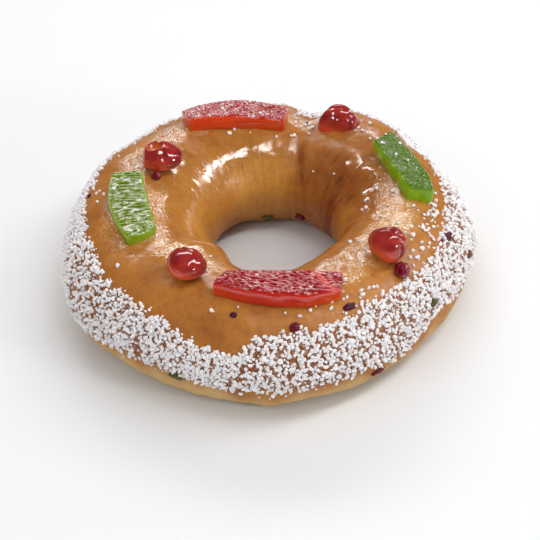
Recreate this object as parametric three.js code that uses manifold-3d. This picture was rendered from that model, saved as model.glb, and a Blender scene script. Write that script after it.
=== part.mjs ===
// Roscon de reyes: a baked ring of sweet brioche dough, set with four strips of candied fruit, four candied
// cherries and two smaller berries, with a belt of pearl sugar baked on to its outer side.
//
// Millimetres, +Z up. The ring stands on z = 0 and its hole runs along Z. The angle round the ring, turn, is
// counted from the front (-Y) towards +X. In a section through the dough, the angle rise is counted from the
// outer side (0) over the crest (90) to the hole's wall (180).
import * as THREE from 'three';
import { ParametricGeometry } from 'three/addons/geometries/ParametricGeometry.js';
import { mergeVertices } from 'three/addons/utils/BufferGeometryUtils.js';
import Module from 'manifold-3d';

const wasm = await Module();
wasm.setup();

// ---------------------------------------------------------------------------------------------------------
// Driving dimensions
// ---------------------------------------------------------------------------------------------------------

// The dough. Each list is a mean size in mm, then the [cosine, sine] parts of one, two, three ... slow waves
// round the ring, which make it as uneven as hand-shaped dough.
const OUTER_RADIUS = [113.0, [0.2, -1.2], [-0.7, -1.8], [1.6, 0.3], [-1.0, 0.4], [1.5, 0.6]];
const HOLE_RADIUS = [37.0, [1.6, 1.5], [1.5, 0.5]];
const CREST_HEIGHT = [57.5, [-0.8, 0.0], [-1.8, 0.0]];
const BELT_HEIGHT = 24.5; // height at which the ring is widest
const CROWN_POWER = 1.95; // 2 is an ellipse
const FOOT_POWER = 2.4;
const FOOT_DEPTH = 1.15; // depth of the lower curve, in belt heights, before the flat base cuts it
const OUTLINE_MIDDLE = [-0.2, -3.2]; // middle of the whole's outline, seen from the hole's axis

// Lumps and dents of the dough: turn and rise of the middle, reach both ways in degrees, height in mm.
const DOUGH_LUMPS = [
  [317, 150, 12, 38, 6.0], // lobe that leans into the hole at the front left
  [38, 125, 24, 35, 2.5], // shoulder at the front right
  [250, 205, 30, 30, 2.5], // spread foot of the hole's wall
  [86, 2, 6, 28, 2.5], // knob on the right rim
  [120, 104, 7, 9, -4.0], // pocket beside the right green strip
  [111, 117, 7, 8, 1.5], // fold next to the pocket
  [101, 114, 5, 10, -2.5], // second, smaller pocket
  [160, 150, 4, 60, -2.0], // upright crease in the hole's wall
  [117, 168, 4, 35, -2.5], // seam between two lengths of dough
  [162.5, 60, 6, 32, -7.5], // the same crease where it runs out over the back
  [142, 44, 7, 26, -1.3], // shallow hollow beside it
  [119.5, 36, 11, 24, -6.0], // flat on the rim behind the right green strip
  [227.5, 44, 7.5, 26, -2.0], // flat on the rim at the back left
];

// How finely the ring is faceted.
const RING_STEPS = 72;
const SECTION_STEPS = 24;
const SECTION_SHARE_OF_BASE = 1 / 6; // of the section's steps, those across the flat base

// Belt of pearl sugar. It reaches from SUGAR_LOW up to SUGAR_HIGH, in degrees of rise.
const GRAIN_COUNT = 230;
const GRAIN_SIZE = [2.4, 3.0]; // smallest and largest, along the longest side
const GRAIN_SINK = 0.36; // share of a grain's size that is baked into the crust
const SUGAR_LOW = -6;
const SUGAR_HIGH = 49;
const SUGAR_HIGH_TILT = [5, 20]; // the top edge rises towards the right: height and turn of zero, degrees
const SUGAR_EDGE_BAYS = [
  // turn, reach and height of the bays and tongues in the top edge, degrees
  [342, 13, -17],
  [240, 15, 4],
  [108, 14, 4],
  [60, 8, -4],
  [34, 9, 4],
];

// Scraps of fruit baked into the crust: turn and rise in degrees, then length, width and height in mm.
const FRUIT_SCRAPS = [
  [6.5, 49.5, 5.4, 4.6, 3.0],
  [24.5, 55.5, 7.2, 3.4, 2.4],
  [348, 60, 3.6, 2.8, 2.2],
  [151.5, 196, 5.6, 4.8, 3.0],
  [72, 44, 6.4, 4.0, 3.0],
  [181, 206, 6.5, 4.2, 3.0],
  [334, 355, 9.0, 3.6, 2.6],
  [52, 16, 7.0, 3.4, 3.0],
  [29, 345, 8.0, 3.2, 2.4],
  [76, 13, 5.0, 4.4, 3.4],
];
const SCRAP_SINK = 0.3; // share of a scrap's height that lies in the crust

// Strips of candied fruit: ends of the middle line [x, y], how far it bows outwards, width, how much the ends
// narrow, the share of the length where it is widest, skew and bulge of the two end cuts (mm), thickness.
const STRIPS = {
  red_strip_front: {
    start: [-25.9, -72.9], end: [36.1, -76.4], bow: 3.6,
    width: 19.4, narrow: 0.44, widest: 0.57, skew: [-3.4, -0.4], bulge: [0.5, 0.0], thickness: 10.6,
  },
  red_strip_back: {
    start: [12.1, 67.2], end: [-45.4, 66.4], bow: 6.0,
    width: 19.5, narrow: 0.41, widest: 0.56, skew: [-1.5, 2.6], bulge: [0.0, 0.0], thickness: 9.7,
  },
  green_strip_left: {
    start: [-76.4, 16.9], end: [-66.9, -34.4], bow: 3.1,
    width: 20.8, narrow: 0.23, widest: 0.51, skew: [-2.0, 3.3], bulge: [0.6, 1.9], thickness: 6.8,
  },
  green_strip_right: {
    start: [80.9, -11.8], end: [65.4, 38.3], bow: 1.7,
    width: 16.2, narrow: 0.17, widest: 0.3, skew: [-2.3, 2.0], bulge: [0.0, 0.0], thickness: 10.2,
  },
};
const STRIP_SINK = 2.0; // how deep a strip lies in the crust
const STRIP_ROUNDING = 0.1; // how much the long edges are drawn in, as a share of the half width

// Candied cherries and the two smaller berries: place [x, y], half width, half depth, half height, how far
// the middle stands above the crust, and lumps as [towards x, y, z, size in mm, sharpness].
const CHERRIES = {
  cherry_front_left: {
    place: [-43.5, -62.0], half: [9.4, 10.6, 7.2], stand: 7.3,
    lumps: [[0.1, 0.6, 0.6, -1.0, 6], [0.8, -0.2, -0.3, 2.3, 6]],
  },
  cherry_back_left: {
    // The first lump is the hollow where the stone was, the last the valley between the two lobes.
    place: [-59.8, 28.0], half: [11.0, 10.8, 7.4], stand: 6.6,
    lumps: [
      [-0.3, -0.2, 0.9, -3.6, 12], [1, -0.1, -0.1, 2.7, 5], [-0.2, -0.7, -0.3, -1.6, 8],
      [-1, 0, 0.1, -2.4, 6], [0.3, -0.75, 0.6, -1.0, 14],
    ],
  },
  cherry_back_right: {
    place: [41.9, 62.2], half: [12.1, 8.3, 11.4], stand: -1.0,
    lumps: [[-0.4, -0.9, 0.2, -3.0, 5], [0, 0.4, 1, 2.3, 6]],
  },
  cherry_front_right: {
    place: [61.0, -52.5], half: [10.4, 11.2, 10.6], stand: 7.5,
    lumps: [[-0.2, 0.8, 0.9, -2.1, 6], [0.6, 0.1, 0.7, -0.8, 5], [-0.6, -0.6, -0.5, -2.1, 5]],
  },
  berry_back_left: {
    place: [-61.0, 17.0], half: [2.8, 2.5, 2.5], stand: 1.8, lumps: [[0, 0, 1, 0.3, 6]],
  },
  berry_front_right: {
    place: [67.9, -62.3], half: [4.4, 4.8, 3.8], stand: 2.0, lumps: [[0.6, 0.5, 0.4, -0.5, 5]],
  },
};

const CLEARANCE = 0.3; // left between two pieces that touch
const GRAIN_KEEP_OUT = 3.0; // least way from a grain's middle to the box round a strip or cherry
const SMALL_FRUIT = 6; // a round fruit with a smaller half width gets fewer facets

// ---------------------------------------------------------------------------------------------------------
// The dough's surface
// ---------------------------------------------------------------------------------------------------------

/** Mean size plus its slow waves at an angle round the ring. */
function waveAt([mean, ...waves], turn) {
  const wave = ([cosine, sine], i) => cosine * Math.cos((i + 1) * turn) + sine * Math.sin((i + 1) * turn);
  return waves.reduce((sum, parts, i) => sum + wave(parts, i), mean);
}

/** A rounded hump: 1 in the middle, falling to 0 over its reach. */
const hump = (distance, reach) => Math.exp(-((distance / reach) ** 2));

/** Difference of two angles in degrees, between -180 and 180. */
const angleBetween = (a, b) => ((((a - b + 180) % 360) + 360) % 360) - 180;

/** The sizes of the section through the dough at one turn. */
function sectionAt(turn) {
  const outer = waveAt(OUTER_RADIUS, turn);
  const hole = waveAt(HOLE_RADIUS, turn);
  const middle = (outer + hole) / 2;
  return { middle, half: (outer - hole) / 2, crown: waveAt(CREST_HEIGHT, turn) - BELT_HEIGHT };
}

/** Half width of the flat base, as a share of the section's half width. */
const FOOT_SHARE = (1 - FOOT_DEPTH ** -FOOT_POWER) ** (1 / FOOT_POWER);

/** Point of the crust at a turn and a rise, in radians, moved outwards by lift. */
function crustPoint(turn, rise, lift = 0) {
  const { middle, half, crown } = sectionAt(turn);
  const across = Math.cos(rise);
  const up = Math.sin(rise);
  const height = up > 0 ? crown : BELT_HEIGHT * FOOT_DEPTH;
  const power = up > 0 ? CROWN_POWER : FOOT_POWER;
  let reach = (Math.abs(across / half) ** power + Math.abs(up / height) ** power) ** (-1 / power);
  for (const [lumpTurn, lumpRise, turnReach, riseReach, size] of DOUGH_LUMPS) {
    const aside = angleBetween(THREE.MathUtils.radToDeg(turn), lumpTurn);
    const above = angleBetween(THREE.MathUtils.radToDeg(rise), lumpRise);
    reach += size * hump(aside, turnReach) * hump(above, riseReach);
  }
  reach += lift;
  if (up < 0) reach = Math.min(reach, (BELT_HEIGHT + lift) / -up);
  const radius = middle + reach * across;
  return new THREE.Vector3(radius * Math.sin(turn), -radius * Math.cos(turn), BELT_HEIGHT + reach * up);
}

/** Outward normal of the crust, from two short steps along it. */
function crustNormal(turn, rise) {
  const step = 1e-3;
  const along = crustPoint(turn + step, rise).sub(crustPoint(turn - step, rise));
  const around = crustPoint(turn, rise + step).sub(crustPoint(turn, rise - step));
  return along.cross(around).normalize();
}

/** Height of the plain crown above a place [x, y]. */
function crownHeight(x, y) {
  const { middle, half, crown } = sectionAt(Math.atan2(x, -y));
  const aside = Math.min(Math.abs(Math.hypot(x, y) - middle) / half, 1);
  return BELT_HEIGHT + crown * (1 - aside ** CROWN_POWER) ** (1 / CROWN_POWER);
}

/** How steeply the crown rises from a point in a direction, measured over a short way on both sides. */
function crownSlope(point, direction, way = 3) {
  const ahead = point.clone().addScaledVector(direction, way);
  const behind = point.clone().addScaledVector(direction, -way);
  return (crownHeight(...ahead) - crownHeight(...behind)) / (2 * way);
}

/** The dough ring as a closed surface: over the crust from foot to foot, then back across the flat base. */
function doughGeometry(lift) {
  const crustShare = 1 - SECTION_SHARE_OF_BASE;
  return new ParametricGeometry(
    (u, v, target) => {
      const turn = (u % 1) * 2 * Math.PI;
      const foot = Math.atan2(-BELT_HEIGHT - lift, sectionAt(turn).half * FOOT_SHARE + lift);
      const outerFoot = crustPoint(turn, foot, lift);
      const innerFoot = crustPoint(turn, Math.PI - foot, lift);
      const around = v % 1;
      const overCrust = around / crustShare;
      if (overCrust < 1) target.copy(crustPoint(turn, foot + overCrust * (Math.PI - 2 * foot), lift));
      else target.lerpVectors(innerFoot, outerFoot, (around - crustShare) / SECTION_SHARE_OF_BASE);
    },
    RING_STEPS,
    SECTION_STEPS,
  );
}

// ---------------------------------------------------------------------------------------------------------
// Solids
// ---------------------------------------------------------------------------------------------------------

/** A closed geometry as a solid that can be joined and cut. */
function solidOf(geometry) {
  const bare = geometry.clone();
  bare.deleteAttribute('normal');
  bare.deleteAttribute('uv');
  const closed = mergeVertices(bare, 1e-4);
  const vertProperties = new Float32Array(closed.attributes.position.array);
  const triVerts = new Uint32Array(closed.index.array);
  return new wasm.Manifold(new wasm.Mesh({ numProp: 3, vertProperties, triVerts }));
}

/** A solid back as a geometry. */
function geometryOf(solid) {
  const { vertProperties, triVerts } = solid.getMesh();
  const geometry = new THREE.BufferGeometry();
  geometry.setAttribute('position', new THREE.BufferAttribute(vertProperties, 3));
  geometry.setIndex(new THREE.BufferAttribute(triVerts, 1));
  geometry.computeVertexNormals();
  return geometry;
}

/** The same draw every time, between 0 and 1, for a grain's number and what is drawn. */
function draw(number, what) {
  const wave = Math.sin(number * 12.9898 + what * 78.233) * 43758.5453;
  return wave - Math.floor(wave);
}

/** A blocky grain of the given size, turned by three draws, its middle at a point. */
function grainGeometry(size, number, middle) {
  const turned = new THREE.Euler(draw(number, 1) * 6, draw(number, 2) * 6, draw(number, 3) * 6);
  return new THREE.BoxGeometry(1, 1, 1).applyMatrix4(
    new THREE.Matrix4().compose(middle, new THREE.Quaternion().setFromEuler(turned), size),
  );
}

/** Upper edge of the sugar at a turn in degrees, as a rise in degrees. */
function sugarEdge(turn) {
  const [height, zero] = SUGAR_HIGH_TILT;
  const tilt = height * Math.sin(THREE.MathUtils.degToRad(turn - zero));
  const bays = SUGAR_EDGE_BAYS.map(([at, reach, size]) => size * hump(angleBetween(turn, at), reach));
  return bays.reduce((sum, bay) => sum + bay, SUGAR_HIGH + tilt);
}

/** The largest grains of pearl sugar, spread evenly over the belt by two irrational steps. */
function sugarGrains(isFree) {
  const grains = [];
  for (let i = 0; i < GRAIN_COUNT; i++) {
    const turn = 360 * ((i * 0.6180339887) % 1);
    const rise = SUGAR_LOW + (sugarEdge(turn) - SUGAR_LOW) * ((i * 0.7548776662) % 1);
    const at = [THREE.MathUtils.degToRad(turn), THREE.MathUtils.degToRad(rise)];
    const across = THREE.MathUtils.lerp(GRAIN_SIZE[0], GRAIN_SIZE[1], draw(i, 4));
    const middle = crustPoint(...at).addScaledVector(crustNormal(...at), across * (0.5 - GRAIN_SINK));
    const size = new THREE.Vector3(1, 0.75 + 0.2 * draw(i, 5), 0.7 + 0.2 * draw(i, 6)).multiplyScalar(across);
    if (isFree(middle)) grains.push(solidOf(grainGeometry(size, i, middle)));
  }
  return grains;
}

/** The scraps of fruit that show in the crust, each lying flat on it. */
function fruitScraps() {
  return FRUIT_SCRAPS.map(([turn, rise, length, width, height]) => {
    const at = [THREE.MathUtils.degToRad(turn), THREE.MathUtils.degToRad(rise)];
    const normal = crustNormal(...at);
    const along = crustPoint(at[0] + 1e-3, at[1]).sub(crustPoint(...at)).normalize();
    const frame = new THREE.Matrix4().makeBasis(along, normal.clone().cross(along), normal);
    const middle = crustPoint(...at).addScaledVector(normal, height * (0.5 - SCRAP_SINK));
    const scrap = new THREE.SphereGeometry(0.5, 8, 5).scale(length, width, height);
    return solidOf(scrap.applyMatrix4(frame).translate(middle.x, middle.y, middle.z));
  });
}

// ---------------------------------------------------------------------------------------------------------
// Toppings
// ---------------------------------------------------------------------------------------------------------

/** For a share of a strip's length: the point of its middle line, its directions and the way from the widest. */
function stripLine({ start, end, bow, widest }, share) {
  const from = new THREE.Vector2(...start);
  const to = new THREE.Vector2(...end);
  const along = to.clone().sub(from).normalize();
  const outward = new THREE.Vector2(along.y, -along.x);
  const fromWidest = (share - widest) / (share < widest ? widest : 1 - widest);
  const point = from.lerp(to, share).addScaledVector(outward, bow * (1 - fromWidest ** 2));
  return { point, along, outward, fromWidest };
}

/** A bar bent along the ring, sloping with the crown, its long edges drawn in and its ends cut askew. */
function stripGeometry(strip) {
  const bar = new THREE.BoxGeometry(1, 2, 1, 10, 3, 2);
  const at = bar.attributes.position;
  for (let i = 0; i < at.count; i++) {
    const share = at.getX(i) + 0.5;
    const side = -at.getY(i);
    const up = at.getZ(i) + 0.5;
    const { point, along, outward, fromWidest } = stripLine(strip, share);
    const slope = crownSlope(point, outward);
    const rounding = 1 - STRIP_ROUNDING * (2 * up - 1) ** 4;
    const aside = (side * strip.width * (1 - strip.narrow * fromWidest ** 2) * rounding) / 2;
    const [cut, bulge] = share < 0.5 ? [strip.skew[0], -strip.bulge[0]] : [strip.skew[1], strip.bulge[1]];
    const longer = (cut * side + bulge * (1 - side ** 2)) * fromWidest ** 4;
    const height = up * strip.thickness;
    const place = point.clone().addScaledVector(outward, aside - slope * height).addScaledVector(along, longer);
    at.setXYZ(i, place.x, place.y, crownHeight(...point) - STRIP_SINK + slope * aside + height);
  }
  return bar;
}

/** A round fruit with dents and bulges, standing partly sunk in the crust. */
function cherryGeometry({ place, half, stand, lumps }) {
  const [slices, stacks] = half[0] < SMALL_FRUIT ? [10, 6] : [16, 10];
  const ball = new THREE.SphereGeometry(1, slices, stacks).rotateX(Math.PI / 2);
  const at = ball.attributes.position;
  const direction = new THREE.Vector3();
  for (let i = 0; i < at.count; i++) {
    direction.fromBufferAttribute(at, i).normalize();
    const reach = lumps.reduce((sum, [x, y, z, size, sharpness]) => {
      const towards = new THREE.Vector3(x, y, z).normalize();
      return sum + size * Math.exp(sharpness * (direction.dot(towards) - 1));
    }, 0);
    at.setXYZ(i, ...half.map((h, axis) => direction.getComponent(axis) * (h + reach)));
  }
  return ball.translate(place[0], place[1], crownHeight(...place) + stand);
}

// ---------------------------------------------------------------------------------------------------------
// The whole
// ---------------------------------------------------------------------------------------------------------

const bed = solidOf(doughGeometry(CLEARANCE));
const toppingSolids = {};
for (const [name, strip] of Object.entries(STRIPS)) {
  toppingSolids[name] = solidOf(stripGeometry(strip)).subtract(bed);
}
for (const [name, cherry] of Object.entries(CHERRIES)) {
  toppingSolids[name] = solidOf(cherryGeometry(cherry)).subtract(bed);
}

/** Whether a grain's middle is well away from every topping. */
function isFreeOfToppings(middle) {
  return Object.values(toppingSolids).every((solid) => {
    const box = solid.boundingBox();
    const nearest = new THREE.Vector3(...box.min).max(middle.clone().min(new THREE.Vector3(...box.max)));
    return nearest.distanceTo(middle) > GRAIN_KEEP_OUT;
  });
}

const breadSolid = wasm.Manifold.union([
  solidOf(doughGeometry(0)),
  ...sugarGrains(isFreeOfToppings),
  ...fruitScraps(),
]);

const MATERIALS = {
  bread: new THREE.MeshStandardMaterial({ color: 0xb0793a, roughness: 0.45, metalness: 0 }),
  red: new THREE.MeshStandardMaterial({ color: 0xc03a2c, roughness: 0.3, metalness: 0 }),
  green: new THREE.MeshStandardMaterial({ color: 0x5c9a20, roughness: 0.3, metalness: 0 }),
  cherry: new THREE.MeshStandardMaterial({ color: 0x9a1c20, roughness: 0.15, metalness: 0 }),
  berry: new THREE.MeshStandardMaterial({ color: 0x7a1430, roughness: 0.2, metalness: 0 }),
};

/** The material of a topping goes by the first word of its name. */
function addPiece(group, name, solid) {
  const material = MATERIALS[name.split('_')[0]];
  const mesh = new THREE.Mesh(geometryOf(solid), material);
  mesh.name = name;
  group.add(mesh);
}

// The pieces are shaped round the hole's axis. The whole is then moved, so that its outline's middle is the
// origin.
const roundTheHole = new THREE.Group();
addPiece(roundTheHole, 'bread_ring', breadSolid);
for (const [name, solid] of Object.entries(toppingSolids)) addPiece(roundTheHole, name, solid);
roundTheHole.position.set(-OUTLINE_MIDDLE[0], -OUTLINE_MIDDLE[1], 0);

const roscon = new THREE.Group();
roscon.add(roundTheHole);

export default roscon;
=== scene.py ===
"""Roscon de reyes: a baked ring of sweet dough with pearl sugar, strips of candied fruit and cherries.

All shapes are worked out in millimetres about the hole's upright axis. They are put into the meshes in
metres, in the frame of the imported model. The angle turn runs round the ring from the front (-Y) towards +X.
In a section through the dough, the angle rise runs from the outer side (0) over the crest (90) to the hole's
wall (180).
"""

import bpy
import numpy as np
from mathutils import Matrix, Quaternion, Vector


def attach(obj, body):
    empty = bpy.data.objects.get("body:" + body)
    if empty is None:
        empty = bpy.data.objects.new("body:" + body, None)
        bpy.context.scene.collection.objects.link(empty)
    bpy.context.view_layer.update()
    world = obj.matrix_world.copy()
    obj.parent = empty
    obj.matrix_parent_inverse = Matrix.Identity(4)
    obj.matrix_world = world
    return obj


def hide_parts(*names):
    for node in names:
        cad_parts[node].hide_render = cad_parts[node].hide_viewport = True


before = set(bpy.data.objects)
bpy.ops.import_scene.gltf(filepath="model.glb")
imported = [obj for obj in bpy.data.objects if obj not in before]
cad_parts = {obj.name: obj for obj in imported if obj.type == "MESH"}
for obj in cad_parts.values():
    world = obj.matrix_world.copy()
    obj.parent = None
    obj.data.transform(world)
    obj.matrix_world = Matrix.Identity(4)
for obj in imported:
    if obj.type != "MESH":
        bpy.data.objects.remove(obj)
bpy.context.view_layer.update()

# ------------------------------------------------------------------------------------------------------------
# The dough ring. A rope of sweet yeast dough, joined into a ring by hand, proved, brushed with beaten egg and
# baked on a tray. The crust is golden and glossy where the egg was brushed, deep brown in the hole, and pale
# and dull at the foot, which lay on the baking paper. Painted shade darkens the hole's right wall and its
# folds, and painted light lightens the hole's back wall and the foot at the front left.
# ------------------------------------------------------------------------------------------------------------
MM = 0.001
OUTLINE_MIDDLE = np.array([-0.2, -3.2, 0.0])  # middle of the whole's outline, seen from the hole's axis
# Mean size, then the cosine and sine of one, two, three ... slow waves round the ring.
OUTER_RADIUS = (113.0, (0.2, -1.2), (-0.7, -1.8), (1.6, 0.3), (-1.0, 0.4), (1.5, 0.6))
HOLE_RADIUS = (37.0, (1.6, 1.5), (1.5, 0.5))
CREST_HEIGHT = (57.5, (-0.8, 0.0), (-1.8, 0.0))
BELT_HEIGHT = 24.5
CROWN_POWER, FOOT_POWER, FOOT_DEPTH = 1.95, 2.4, 1.15
# Lumps and dents: turn and rise of the middle, reach both ways in degrees, height in mm.
DOUGH_LUMPS = (
    (317, 150, 12, 38, 6.0),
    (38, 125, 24, 35, 2.5),
    (250, 205, 30, 30, 2.5),
    (86, 2, 6, 28, 2.5),
    (120, 104, 7, 9, -4.0),
    (111, 117, 7, 8, 1.5),
    (101, 114, 5, 10, -2.5),
    (160, 150, 4, 60, -2.0),
    (117, 168, 4, 35, -2.5),
    (162.5, 60, 6, 32, -7.5),
    (142, 44, 7, 26, -1.3),
    (119.5, 36, 11, 24, -6.0),
    (227.5, 44, 7.5, 26, -2.0),
)
# Narrow folds in the hole's wall, a blister and a pinhole, in the same terms.
FINE_FOLDS = (
    (109, 160, 1.8, 26, -0.3),
    (117, 150, 1.6, 40, -0.5),
    (129, 164, 2.6, 22, -0.3),
    (142, 138, 3.4, 14, -0.25),
    (147, 176, 2.2, 24, -0.3),
    (156, 158, 1.8, 40, -0.5),
    (121, 128, 4.0, 5, 1.1),
    (106, 112, 3.0, 4, 1.0),
    (98, 121, 3.5, 4, -0.9),
    (246, 76.5, 1.1, 2.0, 0.8),
    (278.5, 66, 0.7, 1.2, -0.9),
    (302, 74, 0.6, 1.0, -0.5),
    (226, 165, 1.2, 12, -0.5),
)
# Where the skin shrank into wrinkles round the fruit, in the same terms, with a share in place of the height.
WRINKLED = ((292, 72, 10, 14, 1.0), (284, 108, 10, 10, 1.0), (222, 66, 12, 12, 1.0))
RING_STEPS, CRUST_STEPS, BASE_STEPS = 480, 178, 22


def waves(parts, turn):
    """The mean size plus the cosine and sine of one, two, three ... waves at each turn."""
    total = np.full(np.shape(turn), parts[0])
    for count, (cosine, sine) in enumerate(parts[1:], 1):
        total = total + cosine * np.cos(count * turn) + sine * np.sin(count * turn)
    return total


def angle_between(a, b):
    """Difference of angles in degrees, brought between -180 and 180."""
    return (a - b + 180) % 360 - 180


def hump(distance, reach):
    """1 in the middle, falling off as e to the minus square of distance over reach."""
    return np.exp(-((distance / reach) ** 2))


def patch(turn, rise, at, reach):
    """A hump on the crust round a turn and a rise, all in degrees."""
    return hump(angle_between(turn, at[0]), reach[0]) * hump(angle_between(rise, at[1]), reach[1])


def step_up(value, edge, width):
    """A smooth step from 0 to 1 as the value passes an edge: the logistic curve."""
    return 1 / (1 + np.exp(-(value - edge) / width))


def ripples(points, wavelength, seed, count=28):
    """Sum of sine waves of random direction and phase, about one wavelength long, with a spread of 1."""
    draw = np.random.default_rng(seed)
    way = draw.normal(size=(count, points.shape[-1]))
    way *= 2 * np.pi / wavelength / np.linalg.norm(way, axis=1, keepdims=True)
    way *= draw.uniform(0.7, 1.4, (count, 1))
    phase = draw.uniform(0, 2 * np.pi, count)
    return sum(np.sin(points @ w + p) for w, p in zip(way, phase)) * np.sqrt(2 / count)


def section(turn):
    """Middle radius, half width and crown height of the dough's section at each turn."""
    outer, hole = waves(OUTER_RADIUS, turn), waves(HOLE_RADIUS, turn)
    return (outer + hole) / 2, (outer - hole) / 2, waves(CREST_HEIGHT, turn) - BELT_HEIGHT


def lumps(turn, rise, which):
    """Sum of the humps of a list of lumps, for turns and rises in radians."""
    turn, rise = np.degrees(turn), np.degrees(rise)
    return sum(size * patch(turn, rise, (t, r), (wide, high)) for t, r, wide, high, size in which)


def crust(turn, rise, lift=0.0):
    """Points of the crust: a superellipse about the section's middle, plus the lumps, cut flat at z = 0."""
    middle, half, crown = section(turn)
    across, up = np.cos(rise), np.sin(rise)
    height = np.where(up > 0, crown, BELT_HEIGHT * FOOT_DEPTH)
    power = np.where(up > 0, CROWN_POWER, FOOT_POWER)
    reach = (np.abs(across / half) ** power + np.abs(up / height) ** power) ** (-1 / power)
    reach = reach + lumps(turn, rise, DOUGH_LUMPS) + lift
    reach = np.where(up < 0, np.minimum(reach, BELT_HEIGHT / np.maximum(-up, 1e-6)), reach)
    radius = middle + reach * across
    return np.stack([radius * np.sin(turn), -radius * np.cos(turn), BELT_HEIGHT + reach * up], -1)


def crust_normal(turn, rise, step=2e-3):
    """Outward normals of the crust: the cross product of short steps round the ring and along the section."""
    along = crust(turn + step, rise) - crust(turn - step, rise)
    around = crust(turn, rise + step) - crust(turn, rise - step)
    normal = np.cross(along, around)
    return normal / np.linalg.norm(normal, axis=-1, keepdims=True)


def round_the_hole(turn, radius):
    """Points on a circle round the hole, for patterns that only change round the ring."""
    return radius * np.stack([np.cos(turn), np.sin(turn)], -1)


def relief(turn, rise):
    """Height of the finer unevenness: slow swells, dimples, folds and wrinkles, and pleats at the foot."""
    points = crust(turn, rise)
    turn_deg, rise_deg = np.degrees(turn), np.degrees(rise)
    rim = hump(angle_between(rise_deg, 5), 30)
    even = 1 - 0.7 * patch(turn_deg, rise_deg, (230, 148), (55, 40))
    height = (0.42 - 0.25 * rim) * even * ripples(points, 38, 11) - 0.5 * rim
    height = height + 0.11 * even * ripples(points, 13, 12) + 0.03 * ripples(points, 5.5, 13)
    height = height + 0.14 * lumps(turn, rise, WRINKLED) * ripples(points * [1, 1.8, 1], 4.5, 14)
    wall = hump(angle_between(rise_deg, 165), 45)
    height = height + 0.03 * wall * ripples(round_the_hole(turn, 60), 5.0, 18)
    foot = hump(angle_between(rise_deg, -38), 16)
    height = height + foot * (0.26 * ripples(round_the_hole(turn, 113), 4.2, 15))
    height = height + foot * (0.25 * ripples(round_the_hole(turn, 113), 14, 16))
    inner_foot = hump(angle_between(rise_deg, 224), 11)
    height = height + 0.9 * inner_foot * ripples(round_the_hole(turn, 40), 11, 17)
    return height + lumps(turn, rise, FINE_FOLDS)


def put_mesh(name, points, *face_sets, smooth=True):
    """A mesh object of points in mm about the hole's axis and arrays of faces of three or four corners."""
    mesh = bpy.data.meshes.new(name)
    points = ((points.reshape(-1, 3) - OUTLINE_MIDDLE) * MM).astype(np.float32)
    mesh.vertices.add(len(points))
    mesh.vertices.foreach_set("co", points.ravel())
    corners = np.concatenate([faces.ravel() for faces in face_sets])
    sizes = np.concatenate([np.full(len(faces), faces.shape[1]) for faces in face_sets])
    mesh.loops.add(len(corners))
    mesh.loops.foreach_set("vertex_index", corners.astype(np.int32))
    mesh.polygons.add(len(sizes))
    mesh.polygons.foreach_set("loop_start", (np.cumsum(sizes) - sizes).astype(np.int32))
    mesh.polygons.foreach_set("use_smooth", np.full(len(sizes), smooth))
    mesh.update(calc_edges=True)
    mesh.validate()
    piece = bpy.data.objects.new(name, mesh)
    bpy.context.collection.objects.link(piece)
    return piece


def mark(piece, name, values):
    """Stores a number, or a colour or place of three parts, at each point of a piece for its finish."""
    kind, field = ("FLOAT_VECTOR", "vector") if values.shape[-1:] == (3,) else ("FLOAT", "value")
    piece.data.attributes.new(name, kind, "POINT").data.foreach_set(field, values.astype(np.float32).ravel())


def closed_grid(rows, columns):
    """Four-cornered faces of a grid that closes on itself both ways."""
    row, column = np.meshgrid(np.arange(rows), np.arange(columns), indexing="ij")
    next_row, next_column = (row + 1) % rows, (column + 1) % columns
    corners = (row * columns + column, next_row * columns + column)
    corners += (next_row * columns + next_column, row * columns + next_column)
    return np.stack(corners, -1).reshape(-1, 4)


turn_line = np.linspace(0, 2 * np.pi, RING_STEPS, endpoint=False)[:, None]
foot_share = (1 - FOOT_DEPTH**-FOOT_POWER) ** (1 / FOOT_POWER)
foot_angle = np.arctan2(-BELT_HEIGHT, section(turn_line)[1] * foot_share)
crust_rise = foot_angle + np.linspace(0, 1, CRUST_STEPS) * (np.pi - 2 * foot_angle)
crust_turn = np.broadcast_to(turn_line, crust_rise.shape)
crust_points = crust(crust_turn, crust_rise, relief(crust_turn, crust_rise))
over_base = np.linspace(0, 1, BASE_STEPS + 2)[1:-1]
inner_foot, outer_foot = crust_points[:, -1:], crust_points[:, :1]
base_points = inner_foot + (outer_foot - inner_foot) * over_base[:, None]
base_rise = crust_rise[:, -1:] + over_base * (np.pi + 2 * foot_angle)
ring_points = np.concatenate([crust_points, base_points], 1)
ring_rise = np.concatenate([crust_rise, base_rise], 1)
ring_turn = np.broadcast_to(turn_line, ring_rise.shape)
bread = put_mesh("bread_crust", ring_points, closed_grid(*ring_rise.shape))

# How dark the crust is, from 0 to 1: baked deep in the hole's right wall, along the seam where the rope's
# ends were joined and in the crease beside it, and less above the front's sugar. In part painted shade: the
# hole's right and back wall and the top at the right are darkened where shade falls. Turn, rise, reaches and
# share.
BAKED_AND_SHADE = ((122, 160, 30, 44, 0.95), (118, 176, 6, 36, 0.7), (352, 40, 26, 14, 0.25), (300, 70, 26, 30, 0.12),
         (288, 72, 9, 14, 0.2), (125, 80, 22, 30, 0.25), (150, 106, 18, 20, 0.25), (104, 130, 14, 25, 0.2),
         (146, 134, 16, 14, 0.25), (182, 128, 16, 14, 0.2))
turn_deg, rise_deg = np.degrees(ring_turn), np.degrees(ring_rise)
seam = angle_between(turn_deg, 160 - 0.28 * (rise_deg - 125))
baked_and_shade = lumps(ring_turn, ring_rise, BAKED_AND_SHADE) + 0.5 * hump(seam, 2.5) * hump(rise_deg - 155, 38)
# Painted shade: the folds of the wall are darkened, where shade falls in them.
baked_and_shade -= 0.5 * np.minimum(lumps(ring_turn, ring_rise, FINE_FOLDS), 0)
mark(bread, "baked_and_shade", np.clip(baked_and_shade + 0.10 * ripples(ring_points, 30, 21), 0, 1))
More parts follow.
